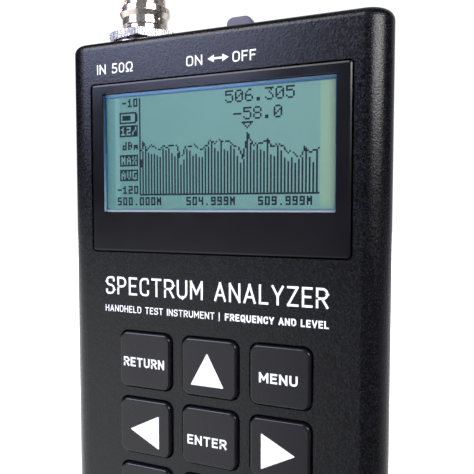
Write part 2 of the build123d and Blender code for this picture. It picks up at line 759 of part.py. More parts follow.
# The plug's core: shell inside the jack, neck through the sleeve, barrel and elbow fork.
plug_bottom_z, shoulder_z, plug_bore_r = 116.6, 122.5, 2.6
barrel_bottom_z, barrel_top_z, barrel_r = 128.2, 134.5, 4.6
fork_slot, cheek_r = 3.3, 4.3
with BuildPart() as antenna_base:
    with BuildSketch(jack_plane(plug_bottom_z)):
        Circle(3.95)
    extrude(amount=shoulder_z - plug_bottom_z)
    with BuildSketch(jack_plane(shoulder_z)):
        Circle(neck_bore_r - 0.1)
    extrude(amount=barrel_bottom_z - shoulder_z)
    with BuildSketch(jack_plane(barrel_bottom_z)):
        Circle(barrel_r)
    extrude(amount=barrel_top_z - barrel_bottom_z)
    with BuildSketch(side_plane()):
        with Locations((0, elbow_z)):
            Circle(cheek_r)
        with Locations((0, (barrel_top_z + elbow_z) / 2)):
            Rectangle(2 * cheek_r, elbow_z - barrel_top_z)
    extrude(amount=3.7, both=True)
    with BuildSketch(jack_plane(barrel_top_z)):
        Rectangle(12, fork_slot)
    extrude(amount=10, mode=Mode.SUBTRACT)
    with BuildSketch(side_plane(elbow_z)):
        Circle(1.02)
    extrude(amount=6, both=True, mode=Mode.SUBTRACT)
    with BuildSketch(jack_plane(plug_bottom_z - 1)):
        Circle(plug_bore_r)
    extrude(amount=12, mode=Mode.SUBTRACT)
antenna_base.part.label = "antenna_base"
export_step(antenna_base.part, "parts/antenna_base.step")

with BuildPart() as spring_washer:
    with BuildSketch(jack_plane(shoulder_z + 0.04)):
        Circle(3.9)
        Circle(neck_bore_r - 0.08, mode=Mode.SUBTRACT)
    extrude(amount=0.5)
spring_washer.part.label = "spring_washer"
export_step(spring_washer.part, "parts/spring_washer.step")

with BuildPart() as plug_insulator:
    with BuildSketch(jack_plane(120.6)):
        Circle(plug_bore_r - 0.02)
        Circle(0.45, mode=Mode.SUBTRACT)
    extrude(amount=6.8)
plug_insulator.part.label = "plug_insulator"
export_step(plug_insulator.part, "parts/plug_insulator.step")

with BuildPart() as plug_pin:
    with BuildSketch(jack_plane(115.2)):
        Circle(0.42)
    extrude(amount=12)
    chamfer(plug_pin.faces().sort_by(Axis.Z)[0].edges(), 0.15)
plug_pin.part.label = "plug_pin"
export_step(plug_pin.part, "parts/plug_pin.step")

with BuildPart() as elbow_pin:
    with BuildSketch(side_plane(elbow_z, 4.0)):
        Circle(1.0)
    extrude(amount=8.0)
    for end in (elbow_pin.faces().sort_by(Axis.Y)[0], elbow_pin.faces().sort_by(Axis.Y)[-1]):
        chamfer(end.edges(), 0.2)
elbow_pin.part.label = "elbow_pin"
export_step(elbow_pin.part, "parts/elbow_pin.step")

# ---------------------------------------------------------------- elbow and telescopic whip
collar_bottom_z, collar_top_z, collar_r = elbow_z + 5.0, elbow_z + 10.5, 3.9
whip_foot_z = collar_bottom_z + 1.2
with BuildPart() as antenna_elbow:
    with BuildSketch(side_plane()):
        with Locations((0, elbow_z)):
            Circle(3.4)
        with Locations((0, (elbow_z + collar_bottom_z) / 2 + 0.1)):
            Rectangle(6.8, collar_bottom_z - elbow_z + 0.2)
    extrude(amount=1.5, both=True)
    with BuildSketch(jack_plane(collar_bottom_z)):
        Circle(collar_r)
    extrude(amount=collar_top_z - collar_bottom_z)
    chamfer(antenna_elbow.edges().group_by(Axis.Z)[-1], 0.4)
    with BuildSketch(jack_plane(whip_foot_z)):
        Circle(3.02)
    extrude(amount=20, mode=Mode.SUBTRACT)
    with BuildSketch(side_plane(elbow_z)):
        Circle(1.05)
    extrude(amount=4, both=True, mode=Mode.SUBTRACT)
antenna_elbow.part.label = "antenna_elbow"
export_step(antenna_elbow.part, "parts/antenna_elbow.step")

whip_sections, whip_outer_r, whip_step_r, tube_wall = 5, 3.0, 0.5, 0.4
whip_top_z, foot_step, top_step = 228.0, 0.6, 2.6
for index in range(whip_sections):
    radius = whip_outer_r - index * whip_step_r
    foot_z = whip_foot_z + index * foot_step
    top_z = whip_top_z + index * top_step
    with BuildPart() as section:
        with BuildSketch(jack_plane(foot_z)):
            Circle(radius)
            if index < whip_sections - 1:
                Circle(radius - tube_wall, mode=Mode.SUBTRACT)
        extrude(amount=top_z - foot_z)
    section.part.label = f"whip_section_{index + 1}"
    export_step(section.part, f"parts/whip_section_{index + 1}.step")

tip_z = whip_top_z + (whip_sections - 1) * top_step
with BuildPart() as antenna_tip:
    with BuildSketch(side_plane()):
        with BuildLine():
            Polyline((0, tip_z), (1.6, tip_z), (2.6, tip_z + 1.0), (2.6, tip_z + 3.6))
            RadiusArc((2.6, tip_z + 3.6), (0, tip_z + 6.2), -2.6)
            Line((0, tip_z + 6.2), (0, tip_z))
        make_face()
    revolve(axis=jack_axis)
antenna_tip.part.label = "antenna_tip"
export_step(antenna_tip.part, "parts/antenna_tip.step")
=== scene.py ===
import json
import math

import bmesh
import bpy
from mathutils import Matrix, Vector


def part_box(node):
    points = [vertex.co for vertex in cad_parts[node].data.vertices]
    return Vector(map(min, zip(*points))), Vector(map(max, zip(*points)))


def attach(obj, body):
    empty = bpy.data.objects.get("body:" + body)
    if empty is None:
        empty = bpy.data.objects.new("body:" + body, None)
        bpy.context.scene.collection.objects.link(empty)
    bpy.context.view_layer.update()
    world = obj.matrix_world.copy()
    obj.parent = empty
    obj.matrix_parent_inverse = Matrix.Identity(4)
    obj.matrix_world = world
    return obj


MM = 0.001

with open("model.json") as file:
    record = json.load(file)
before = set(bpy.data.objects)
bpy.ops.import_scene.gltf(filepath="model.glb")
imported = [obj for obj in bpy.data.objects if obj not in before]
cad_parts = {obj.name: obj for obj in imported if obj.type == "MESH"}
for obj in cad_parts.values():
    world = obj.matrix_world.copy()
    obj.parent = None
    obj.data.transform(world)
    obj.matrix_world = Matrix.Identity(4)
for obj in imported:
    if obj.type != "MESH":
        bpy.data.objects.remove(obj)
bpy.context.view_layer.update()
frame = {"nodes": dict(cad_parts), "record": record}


# ------------------------------------------------------------------ small helpers
def link(obj):
    bpy.context.scene.collection.objects.link(obj)
    return obj


def mesh_object(name, verts, faces):
    """A mesh object from vertices in millimetres."""
    mesh = bpy.data.meshes.new(name)
    mesh.from_pydata([tuple(c * MM for c in v) for v in verts], [], faces)
    mesh.validate()
    bm = bmesh.new()
    bm.from_mesh(mesh)
    bmesh.ops.recalc_face_normals(bm, faces=bm.faces)
    bm.to_mesh(mesh)
    bm.free()
    return link(bpy.data.objects.new(name, mesh))


def wobble(i, seed=0.0):
    """A fixed pseudo-random number from 0 to 1 for each index."""
    return (math.sin(i * 12.9898 + seed * 78.233) * 43758.5453) % 1.0


# ------------------------------------------------------------------ materials
class Nodes:
    """A material with a Principled shader and short calls for the nodes it needs."""

    def __init__(self, name, **inputs):
        self.material = bpy.data.materials.new(name)
        self.material.use_nodes = True
        self.tree = self.material.node_tree
        self.shader = self.tree.nodes["Principled BSDF"]
        for key, value in inputs.items():
            self.shader.inputs[key.replace("_", " ").title().replace("Ior", "IOR")].default_value = value
        self.coords = self.tree.nodes.new("ShaderNodeTexCoord").outputs["Object"]

    def node(self, kind, **inputs):
        node = self.tree.nodes.new(kind)
        for key, value in inputs.items():
            if isinstance(value, bpy.types.NodeSocket):
                self.tree.links.new(value, node.inputs[key])
            else:
                node.inputs[key].default_value = value
        return node

    def noise(self, scale, detail=2.0, rough=0.5, vector=None):
        node = self.node("ShaderNodeTexNoise", Scale=scale, Detail=detail, Roughness=rough)
        self.tree.links.new(vector or self.coords, node.inputs["Vector"])
        return node.outputs["Fac"]

    def math(self, operation, a, b=0.0, clamp=False):
        node = self.tree.nodes.new("ShaderNodeMath")
        node.operation = operation
        node.use_clamp = clamp
        for socket, value in zip(node.inputs, (a, b)):
            if isinstance(value, bpy.types.NodeSocket):
                self.tree.links.new(value, socket)
            else:
                socket.default_value = value
        return node.outputs[0]

    def remap(self, value, low, high, to_low, to_high):
        node = self.tree.nodes.new("ShaderNodeMapRange")
        for socket, number in zip(node.inputs[1:5], (low, high, to_low, to_high)):
            socket.default_value = number
        self.tree.links.new(value, node.inputs[0])
        return node.outputs[0]

    def axis(self, index):
        node = self.tree.nodes.new("ShaderNodeSeparateXYZ")
        self.tree.links.new(self.coords, node.inputs[0])
        return node.outputs[index]

    def ramp(self, value, stops):
        node = self.tree.nodes.new("ShaderNodeValToRGB")
        elements = node.color_ramp.elements
        while len(elements) < len(stops):
            elements.new(0.5)
        for element, (position, color) in zip(elements, stops):
            element.position = position
            element.color = (*color, 1.0)
        self.tree.links.new(value, node.inputs[0])
        return node.outputs[0]

    def mix(self, fac, a, b):
        node = self.tree.nodes.new("ShaderNodeMix")
        node.data_type = "RGBA"
        for socket, value in ((node.inputs[0], fac), (node.inputs[6], a), (node.inputs[7], b)):
            if isinstance(value, bpy.types.NodeSocket):
                self.tree.links.new(value, socket)
            elif isinstance(value, (int, float)):
                socket.default_value = value
            else:
                socket.default_value = (*value, 1.0)
        return node.outputs[2]

    def set(self, socket, value):
        self.tree.links.new(value, self.shader.inputs[socket])

    def bump(self, height, distance, strength=1.0):
        node = self.tree.nodes.new("ShaderNodeBump")
        node.inputs["Distance"].default_value = distance
        node.inputs["Strength"].default_value = strength
        self.tree.links.new(height, node.inputs["Height"])
        self.tree.links.new(node.outputs[0], self.shader.inputs["Normal"])


def rgb(r, g, b):
    """Display values from 0 to 255 as a linear colour."""
    return tuple(((v / 255 + 0.055) / 1.055) ** 2.4 if v > 10 else v / 255 / 12.92 for v in (r, g, b))


def shade(color, factor):
    return tuple(c * factor for c in color)


def powder_coat(name, low, high, roughness):
    """Fine-grained matt coat: each grain changes the colour, the gloss and the height a little."""
    m = Nodes(name, roughness=roughness, specular_ior_level=0.4)
    grain = m.noise(3000.0, 2.0, 0.6)
    cloud = m.noise(60.0, 3.0)
    m.set("Base Color", m.mix(m.remap(grain, 0.35, 0.65, 0.0, 1.0), low, high))
    mottled = m.math("ADD", m.remap(grain, 0.35, 0.65, -0.06, 0.06), m.remap(cloud, 0.3, 0.7, -0.03, 0.03))
    m.set("Roughness", m.math("ADD", mottled, roughness))
    m.bump(grain, 0.00005, 1.0)
    return m.material


def moulded(name, color, roughness, spec=0.4, grain=0.25):
    """Moulded plastic: very fine texture, slow gloss changes from handling."""
    m = Nodes(name, specular_ior_level=spec)
    fine = m.noise(9000.0, 2.0)
    slow = m.noise(90.0, 3.0)
    m.set("Base Color", m.mix(slow, color, shade(color, 1.25)))
    m.set("Roughness", m.math("ADD", m.remap(slow, 0.3, 0.7, -0.04, 0.05), roughness))
    m.bump(fine, 0.00002, grain)
    return m.material


def metal(name, color, roughness, scale=(3000.0, 3000.0, 300.0), dark=None, plate=1.0, ribs=None):
    """Plated or bare metal with fine machining marks and slight stains.

    Ribs, given as (x of the upright axis in metres, how many), stand all round that axis.
    """
    m = Nodes(name, metallic=plate)
    mapping = m.node("ShaderNodeMapping", Vector=m.coords, Scale=scale)
    marks = m.noise(1.0, 3.0, 0.6, mapping.outputs[0])
    stain = m.noise(350.0, 3.0)
    m.set("Base Color", m.mix(m.remap(stain, 0.45, 0.75, 0.0, 1.0), color, dark or shade(color, 0.8)))
    m.set("Roughness", m.math("ADD", m.remap(marks, 0.3, 0.7, -0.06, 0.06), roughness, clamp=True))
    if ribs:
        angle = m.math("ARCTAN2", m.axis(1), m.math("SUBTRACT", m.axis(0), ribs[0]))
        m.bump(m.math("SINE", m.math("MULTIPLY", angle, ribs[1])), 0.00008, 1.0)
    else:
        m.bump(marks, 0.00001, 0.25)
    return m.material


def lcd_cell():
    """Reflective liquid-crystal cell: teal, with painted light in its colour: a bluish left edge, a pale band
    near the left and a lighter lower edge; the greener right margin past the dots is the cell's own,
    lightened by painted reflection.
    """
    m = Nodes("lcd_cell", roughness=0.35, specular_ior_level=0.2)
    x, z = m.axis(0), m.axis(2)
    across = m.remap(x, -0.0262, 0.0262, 0.0, 1.0)
    # Painted light across the cell: a bluish left edge, a pale band near the left, and painted reflection
    # lightening the greener right margin.
    base = m.ramp(across, (
        (0.0, rgb(80, 120, 140)), (0.012, rgb(78, 118, 116)), (0.042, rgb(84, 126, 120)),
        (0.05, rgb(102, 142, 138)), (0.066, rgb(100, 140, 136)), (0.072, rgb(90, 130, 124)),
        (0.5, rgb(98, 136, 130)), (0.9, rgb(102, 138, 130)), (0.938, rgb(102, 138, 131)),
        (0.944, rgb(118, 150, 130)), (0.97, rgb(126, 152, 128)), (1.0, rgb(114, 138, 120)),
    ))
    # Painted light: a lighter band along the lower edge of the cell.
    edge = m.remap(z, 0.0772, 0.0763, 0.0, 1.0)
    base = m.mix(m.math("MULTIPLY", edge, 0.6), base, rgb(100, 142, 134))
    grid = m.noise(2600.0, 1.0)
    m.set("Base Color", m.mix(m.math("MULTIPLY", grid, 0.12), base, rgb(52, 84, 88)))
    return m.material


def window_sheet():
    """Clear cover sheet: nearly invisible apart from its gloss."""
    m = Nodes("window_sheet", roughness=0.04, specular_ior_level=0.5, alpha=0.03)
    m.shader.inputs["Base Color"].default_value = (0.04, 0.07, 0.08, 1.0)
    smear = m.noise(120.0, 3.0)
    m.set("Roughness", m.remap(smear, 0.3, 0.7, 0.03, 0.1))
    return m.material


def display_frame():
    """Bright stamped rim seen through the cover sheet, its colour painted with reflections: a pale blue line
    along its top edge over darker blue, and a near-white line along its bottom edge under blue.
    """
    m = Nodes("display_frame", metallic=0.6, roughness=0.3)
    # Painted reflection along the top of the rim: dark blue rising to a pale blue line.
    top = m.remap(m.axis(2), 0.10085, 0.1019, 0.0, 1.0)
    upper = m.ramp(top, ((0.0, rgb(44, 84, 110)), (0.45, rgb(84, 124, 152)), (0.75, rgb(150, 180, 205)),
                         (1.0, rgb(150, 180, 205))))
    # Painted reflection along the bottom of the rim: blue falling to a near-white line.
    bottom = m.remap(m.axis(2), 0.0764, 0.0752, 0.0, 1.0)
    lower = m.ramp(bottom, ((0.0, rgb(80, 120, 160)), (0.45, rgb(130, 165, 190)), (0.55, rgb(220, 235, 238)),
                            (1.0, rgb(235, 240, 240))))
    high = m.math("GREATER_THAN", m.axis(2), 0.0886)
    speck = m.noise(1500.0, 2.0)
    both = m.mix(high, lower, upper)
    m.set("Base Color", m.mix(m.math("MULTIPLY", speck, 0.15), both, rgb(60, 90, 120)))
    return m.material


def ink(name, color, rough=0.5):
    m = Nodes(name, specular_ior_level=0.2)
    worn = m.noise(3000.0, 2.0)
    m.set("Base Color", m.mix(m.remap(worn, 0.4, 0.8, 0.0, 0.25), color, shade(color, 0.8)))
    m.set("Roughness", m.remap(worn, 0.3, 0.7, rough - 0.05, rough + 0.05))
    return m.material


def circuit_board():
    m = Nodes("circuit_board", roughness=0.4)
    tracks = m.noise(700.0, 0.0)
    line = m.math("PINGPONG", m.math("MULTIPLY", tracks, 12.0), 0.5)
    m.set("Base Color", m.mix(m.math("GREATER_THAN", line, 0.38), rgb(16, 78, 40), rgb(34, 110, 60)))
    m.bump(line, 0.00003, 0.4)
    return m.material


def floor_sheet():
    m = Nodes("floor_sheet", roughness=0.8, specular_ior_level=0.1)
    paper = m.noise(40.0, 3.0)
    m.set("Base Color", m.mix(paper, (0.93, 0.93, 0.93), (0.96, 0.96, 0.96)))
    return m.material


JACK_X, NUT_RIBS = -0.02278, 110.0
case_paint = powder_coat("case_paint", rgb(2, 2, 4), rgb(21, 21, 26), 0.24)
key_rubber = moulded("key_rubber", rgb(18, 17, 22), 0.24, spec=0.45)
bezel_plastic = moulded("bezel_plastic", rgb(15, 14, 18), 0.2, spec=0.35, grain=0.1)
knob_plastic = moulded("knob_plastic", rgb(94, 92, 106), 0.42)
black_plastic = moulded("black_plastic", rgb(26, 26, 28), 0.5)
white_plastic = moulded("white_plastic", rgb(226, 224, 218), 0.45)
cell_wrap = moulded("cell_wrap", rgb(52, 80, 150), 0.35)
label_film = moulded("label_film", rgb(98, 100, 104), 0.34, grain=0.1)
label_ink = moulded("label_ink", rgb(24, 24, 28), 0.5, grain=0.1)
seal_rubber = moulded("seal_rubber", rgb(18, 18, 18), 0.6)
nickel = metal("nickel", (0.80, 0.73, 0.68), 0.18, dark=(0.60, 0.48, 0.41), plate=0.9)
ribbed_nickel = metal("ribbed_nickel", (0.78, 0.75, 0.73), 0.22, plate=0.9, ribs=(JACK_X, NUT_RIBS))
bright_metal = metal("bright_metal", (0.82, 0.82, 0.83), 0.3)
screw_steel = metal("screw_steel", (0.14, 0.14, 0.15), 0.4)
dark_steel = metal("dark_steel", (0.07, 0.07, 0.075), 0.4)
gold = metal("gold", (0.83, 0.62, 0.28), 0.25)
whip_chrome = metal("whip_chrome", (0.85, 0.85, 0.86), 0.08, scale=(200.0, 200.0, 2000.0))
white_ink = ink("white_ink", (0.93, 0.93, 0.95))
lcd_ink = ink("lcd_ink", rgb(8, 14, 34), 0.5)

LOOKS = {
    "case_paint": case_paint, "key_rubber": key_rubber, "bezel_plastic": bezel_plastic,
    "window_glass": window_sheet(), "lcd_glass": lcd_cell(), "bright_metal": bright_metal,
    "screw_steel": screw_steel, "board": circuit_board(), "white_plastic": white_plastic,
    "black_plastic": black_plastic, "knob_plastic": knob_plastic, "cell_wrap": cell_wrap,
    "label_film": label_film, "nickel": nickel, "contact_brass": gold, "seal_rubber": seal_rubber,
    "dark_steel": dark_steel, "whip_chrome": whip_chrome,
}
slot_of = {part["node"]: part["material_slot"] for part in frame["record"]["subparts"]}
for node_name, node in frame["nodes"].items():
    node.data.materials.clear()
    node.data.materials.append(LOOKS[slot_of[node_name]])
frame["nodes"]["lcd_frame"].data.materials[0] = display_frame()
frame["nodes"]["jack_nut"].data.materials[0] = ribbed_nickel


# ------------------------------------------------------------------ stroke lettering
# Each glyph: (width, strokes). A stroke is a list of (x, y, corner radius) in a box 1 by 1;
# a stroke that ends with None is a closed loop. R is the usual corner radius.
R = 0.32
GLYPHS = {
    "A": (1.05, [[(0, 0, 0), (0.5, 1, 0)], [(1, 0, 0), (0.5, 1, 0)], [(0.24, 0.3, 0), (0.76, 0.3, 0)]]),
    "C": (0.9, [[(1, 0.75, 0), (1, 1, R), (0, 1, R), (0, 0, R), (1, 0, R), (1, 0.25, 0)]]),
    "D": (0.98, [[(0, 0, 0), (1, 0, R), (1, 1, R), (0, 1, 0), (0, 0, 0)]]),
    "E": (0.8, [[(1, 0, 0), (0, 0, 0), (0, 1, 0), (1, 1, 0)], [(0, 0.52, 0), (0.85, 0.52, 0)]]),
    "F": (0.78, [[(0, 0, 0), (0, 1, 0), (1, 1, 0)], [(0, 0.5, 0), (0.85, 0.5, 0)]]),
    "H": (0.95, [[(0, 0, 0), (0, 1, 0)], [(1, 0, 0), (1, 1, 0)], [(0, 0.52, 0), (1, 0.52, 0)]]),
    "I": (0.0, [[(0, 0, 0), (0, 1, 0)]]),
    "|": (0.0, [[(0, -0.2, 0), (0, 1.1, 0)]]),
    "L": (0.75, [[(0, 1, 0), (0, 0, 0), (1, 0, 0)]]),
    "M": (1.2, [[(0, 0, 0), (0, 1, 0)], [(1, 0, 0), (1, 1, 0)], [(0, 1, 0), (0.5, 0.3, 0)],
                [(1, 1, 0), (0.5, 0.3, 0)]]),
    "N": (1.0, [[(0, 0, 0), (0, 1, 0)], [(1, 0, 0), (1, 1, 0)], [(0, 1, 0), (1, 0, 0)]]),
    "O": (0.98, [[(0, 0.5, 0), (0, 0, R), (1, 0, R), (1, 1, R), (0, 1, R), None]]),
    "P": (0.9, [[(0, 0, 0), (0, 1, 0), (1, 1, R), (1, 0.45, R), (0, 0.45, 0)]]),
    "Q": (0.98, [[(0, 0.5, 0), (0, 0, R), (1, 0, R), (1, 1, R), (0, 1, R), None],
                 [(0.55, 0.28, 0), (1.05, -0.12, 0)]]),
    "R": (0.95, [[(0, 0, 0), (0, 1, 0), (1, 1, R), (1, 0.47, R), (0, 0.47, 0)], [(0.5, 0.47, 0), (1, 0, 0)]]),
    "S": (0.9, [[(0.97, 0.8, 0), (0.97, 1, R), (0, 1, R), (0, 0.52, R), (1, 0.52, R), (1, 0, R), (0, 0, R),
                 (0, 0.2, 0)]]),
    "T": (0.95, [[(0, 1, 0), (1, 1, 0)], [(0.5, 0, 0), (0.5, 1, 0)]]),
    "U": (0.98, [[(0, 1, 0), (0, 0, R), (1, 0, R), (1, 1, 0)]]),
    "V": (1.05, [[(0, 1, 0), (0.5, 0, 0)], [(1, 1, 0), (0.5, 0, 0)]]),
    "Y": (1.0, [[(0, 1, 0), (0.5, 0.45, 0)], [(1, 1, 0), (0.5, 0.45, 0)], [(0.5, 0, 0), (0.5, 0.45, 0)]]),
    "Z": (0.9, [[(0, 1, 0), (1, 1, 0)], [(1, 1, 0), (0, 0, 0)], [(0, 0, 0), (1, 0, 0)]]),
    "0": (0.82, [[(0, 0.5, 0), (0, 0, R), (1, 0, R), (1, 1, R), (0, 1, R), None]]),
    "5": (0.82, [[(0.95, 1, 0), (0.1, 1, 0), (0.04, 0.58, 0), (1, 0.58, R), (1, 0, R), (0, 0, R),
                  (0, 0.15, 0)]]),
    "~": (1.1, [[(0, 0, 0), (0.3, 0, 0), (0.3, 0.2, 0), (0, 0.35, 0.3), (0, 1, R), (1, 1, R), (1, 0.35, 0.3),
                 (0.7, 0.2, 0), (0.7, 0, 0), (1, 0, 0)]]),
}


def rounded(points, closed, steps=6):
    """The path through the corners, each rounded by its own radius."""
    path = []
    count = len(points)
    for i, (x, z, radius) in enumerate(points):
        here = Vector((x, z))
        if radius <= 0 or (not closed and i in (0, count - 1)):
            path.append(here)
            continue
        before = Vector(points[i - 1][:2]) - here
        after = Vector(points[(i + 1) % count][:2]) - here
        cut = min(radius, before.length * 0.5, after.length * 0.5)
        start, end = here + before.normalized() * cut, here + after.normalized() * cut
        for k in range(steps + 1):
            t = k / steps
            bend = 3 * t * (1 - t)
            near_start, near_end = start.lerp(here, 0.55), end.lerp(here, 0.55)
            middle = near_start * bend * (1 - t) + near_end * bend * t
            path.append(start * (1 - t) ** 3 + middle + end * t ** 3)
    return path


def ribbon(path, closed, half):
    """Left and right offsets of a path, mitred at its corners."""
    left, right = [], []
    count = len(path)
    for i, point in enumerate(path):
        before = path[i] - path[i - 1] if closed or i else path[1] - path[0]
        after = path[(i + 1) % count] - path[i] if closed or i < count - 1 else before
        a, b = before.normalized(), after.normalized()
        normal = Vector((-(a + b).y, (a + b).x))
        normal = normal.normalized() if normal.length > 1e-6 else Vector((-a.y, a.x))
        reach = half / max(0.42, normal.dot(Vector((-a.y, a.x))))
        left.append(point + normal * reach)
        right.append(point - normal * reach)
    return left, right


class Print:
    """Flat printed shapes on a face that looks along -Y, gathered into one mesh."""

    def __init__(self, surface_y, thickness=0.03):
        self.front, self.back = surface_y - thickness, surface_y + 0.01
        self.verts, self.faces = [], []

    def slab(self, loop_a, loop_b, closed, layer=0):
        """A ribbon between two rows of points, with thickness. Crossing ribbons take their own layers."""
        base = len(self.verts)
        count = len(loop_a)
        front = self.front - 0.004 * layer
        for a, b in zip(loop_a, loop_b):
            self.verts += [(a.x, front, a.y), (b.x, front, b.y), (b.x, self.back, b.y), (a.x, self.back, a.y)]
        spans = count if closed else count - 1
        for i in range(spans):
            p, q = base + 4 * i, base + 4 * ((i + 1) % count)
            for k in range(4):
                self.faces.append((p + k, p + (k + 1) % 4, q + (k + 1) % 4, q + k))
        if not closed:
            last = base + 4 * (count - 1)
            self.faces += [(base, base + 1, base + 2, base + 3), (last + 3, last + 2, last + 1, last)]

    def polygon(self, points):
        base, count = len(self.verts), len(points)
        self.verts += [(x, self.front, z) for x, z in points] + [(x, self.back, z) for x, z in points]
        self.faces.append(tuple(range(base, base + count)))
        self.faces.append(tuple(range(base + 2 * count - 1, base + count - 1, -1)))
        for i in range(count):
            j = (i + 1) % count
            self.faces.append((base + i, base + j, base + count + j, base + count + i))

    def text(self, words, x0, x1, z0, height, stroke, gap=0.3):
        """Words fitted between x0 and x1, standing on z0."""
        widths = [0.62 if c == " " else GLYPHS[c][0] for c in words]
        thin = stroke * len([c for c in words if c != " "])
        unit = (x1 - x0 - thin) / max(1e-6, sum(widths) + gap * (len(words) - 1))
        x = x0
        for c, width in zip(words, widths):
            if c != " ":
                for layer, stroke_points in enumerate(GLYPHS[c][1]):
                    closed = stroke_points[-1] is None
                    corners = [p for p in stroke_points if p is not None]
                    sx, sz = width * unit, height - stroke
                    left_x, low_z = x + stroke / 2, z0 + stroke / 2
                    placed = [(left_x + px * sx, low_z + pz * sz, pr * sz) for px, pz, pr in corners]
                    path = rounded(placed, closed)
                    if not closed:
                        path[0] += (path[0] - path[1]).normalized() * stroke / 2
                        path[-1] += (path[-1] - path[-2]).normalized() * stroke / 2
                    left, right = ribbon(path, closed, stroke / 2)
                    self.slab(left, right, closed, layer)
                x += width * unit + stroke + gap * unit
            else:
                x += (width + gap) * unit

    def finish(self, name, body, material):
        obj = mesh_object(name, self.verts, self.faces)
        obj.data.materials.append(material)
        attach(obj, body)
        return obj


FRONT_Y, KEY_Y = -12.5, -13.4

header = Print(FRONT_Y)
header.text("IN 50~", -27.8, -18.45, 106.2, 2.15, 0.28)
header.text("ON", -5.35, -1.64, 105.95, 2.1, 0.28)
header.text("OFF", 5.15, 10.2, 105.85, 2.1, 0.28)
header.polygon([(-0.4, 107.0), (1.0, 107.75), (1.0, 107.2), (2.9, 107.2), (2.9, 107.75), (4.3, 107.0),
                (2.9, 106.25), (2.9, 106.8), (1.0, 106.8), (1.0, 106.25)])
header.finish("legend_header", "case", white_ink)

title = Print(FRONT_Y)
title.text("SPECTRUM ANALYZER", -26.1, 25.2, 56.78, 4.04, 0.46, gap=0.32)
title.finish("legend_title", "case", white_ink)

subtitle = Print(FRONT_Y)
subtitle.text("HANDHELD TEST INSTRUMENT", -26.3, 1.0, 52.83, 1.5, 0.2)
subtitle.text("|", 2.0, 2.2, 52.83, 1.5, 0.2)
subtitle.text("FREQUENCY AND LEVEL", 3.4, 25.3, 52.83, 1.5, 0.3)
subtitle.finish("legend_subtitle", "case", white_ink)

KEY_WORDS = {
    "key_return": ("RETURN", -20.95, -10.65, 40.95, 0.38),
    "key_menu": ("MENU", 11.3, 19.4, 40.95, 0.42),
    "key_enter": ("ENTER", -5.04, 4.13, 25.6, 0.38),
}
for key, (words, x0, x1, z0, stroke) in KEY_WORDS.items():
    legend = Print(KEY_Y)
    legend.text(words, x0, x1, z0, 2.08, stroke, gap=0.3)
    legend.finish("legend_" + key, key + "_body", white_ink)

KEY_ARROWS = {
    "key_up": [(-0.35, 45.7), (-4.2, 38.6), (3.45, 38.6)],
    "key_left": [(-19.4, 26.65), (-12.1, 30.4), (-12.1, 22.9)],
    "key_right": [(18.95, 26.7), (11.75, 22.95), (11.75, 30.45)],
    "key_down": [(-0.35, 8.6), (3.45, 15.7), (-4.2, 15.7)],
}
for key, corners in KEY_ARROWS.items():
    legend = Print(KEY_Y)
    path = rounded([(x, z, 0.25) for x, z in corners], True, 3)
    legend.polygon([(p.x, p.y) for p in path])
    legend.finish("legend_" + key, key + "_body", white_ink)

# The rating label at the rear is blank but for three ruled lines.
RULE_INSET, RULE_W = 4.0, 0.3
label_low, label_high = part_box("rear_label")
rules = Print(label_high[1] / MM - 0.02, -0.05)
for step in range(1, 4):
    rule_z = label_low[2] / MM + (label_high[2] - label_low[2]) / MM * step / 4
    rule_left, rule_right = label_low[0] / MM + RULE_INSET, label_high[0] / MM - RULE_INSET
    rules.polygon([(rule_left, rule_z), (rule_right, rule_z), (rule_right, rule_z + RULE_W),
                   (rule_left, rule_z + RULE_W)])
rules.finish("rear_label_rules", "case", label_ink)


# ------------------------------------------------------------------ display dots
SMALL = {
    "0": "75557", "1": "26227", "2": "71747", "3": "71717", "4": "55711", "5": "74717", "6": "74757",
    "7": "71111", "8": "75757", "9": "75717", ".": "00002", "-": "00700", "M": "57755", "d": "11757",
    "B": "65756", "m": "00775", "A": "25755", "X": "55255", "V": "55552", "G": "74557", "/": "11244",
}
LARGE_ROWS = {
    "0": (14, 17, 19, 21, 25, 17, 14), "3": (31, 2, 4, 2, 1, 17, 14), "5": (31, 16, 30, 1, 1, 17, 14),
    "6": (6, 8, 16, 30, 17, 17, 14), "8": (14, 17, 17, 14, 17, 17, 14), ".": (0, 0, 0, 0, 0, 12, 12),
    "-": (0, 0, 0, 31, 0, 0, 0),
}
DOT_PITCH = 0.3625
COLUMNS = 128
SCREEN_LEFT, SCREEN_TOP = -23.35, 100.1
AXIS_COLUMN, BASE_ROW = 16, 57
dots = set()


def small_text(words, column, row, inverse=False):
    lit = set()
    for i, c in enumerate(words):
        if c in SMALL:
            for r, bits in enumerate(SMALL[c]):
                lit |= {(column + 4 * i + k, row + r) for k in range(3) if int(bits) >> (2 - k) & 1}
    if inverse:
        block = {(c, r) for c in range(column - 1, column + 4 * len(words)) for r in range(row - 1, row + 6)}
        lit = block - lit
    dots.update(lit)


def large_text(words, column, row):
    for i, c in enumerate(words):
        for r, bits in enumerate(LARGE_ROWS[c]):
            dots.update((column + 6 * i + k, row + r) for k in range(5) if bits >> (4 - k) & 1)


small_text("-10", 4, -1)
small_text("12/", 3, 16, inverse=True)
small_text("dBm", 4, 25)
small_text("MAX", 3, 34, inverse=True)
small_text("AVG", 3, 43, inverse=True)
small_text("-120", 0, 52)
small_text("500.000M", 0, 59)
small_text("504.999M", 48, 59)
small_text("509.999M", 93, 59)
large_text("506.305", 73, -1)
large_text("-58.0", 78, 9)
# The battery sign: its outline, then its cap and its charge.
dots |= {(c, r) for c in range(2, 14) for r in range(7, 14) if c in (2, 13) or r in (7, 13)}
dots |= {(14, r) for r in range(8, 13)} | {(c, r) for c in range(4, 10) for r in range(9, 12)}
# The level axis, the base line and the marker beside the axis.
dots |= {(AXIS_COLUMN, r) for r in range(-1, BASE_ROW + 1)}
dots |= {(c, BASE_ROW) for c in range(AXIS_COLUMN, COLUMNS)}
dots |= {(AXIS_COLUMN + 1, r) for r in range(36, 41)}

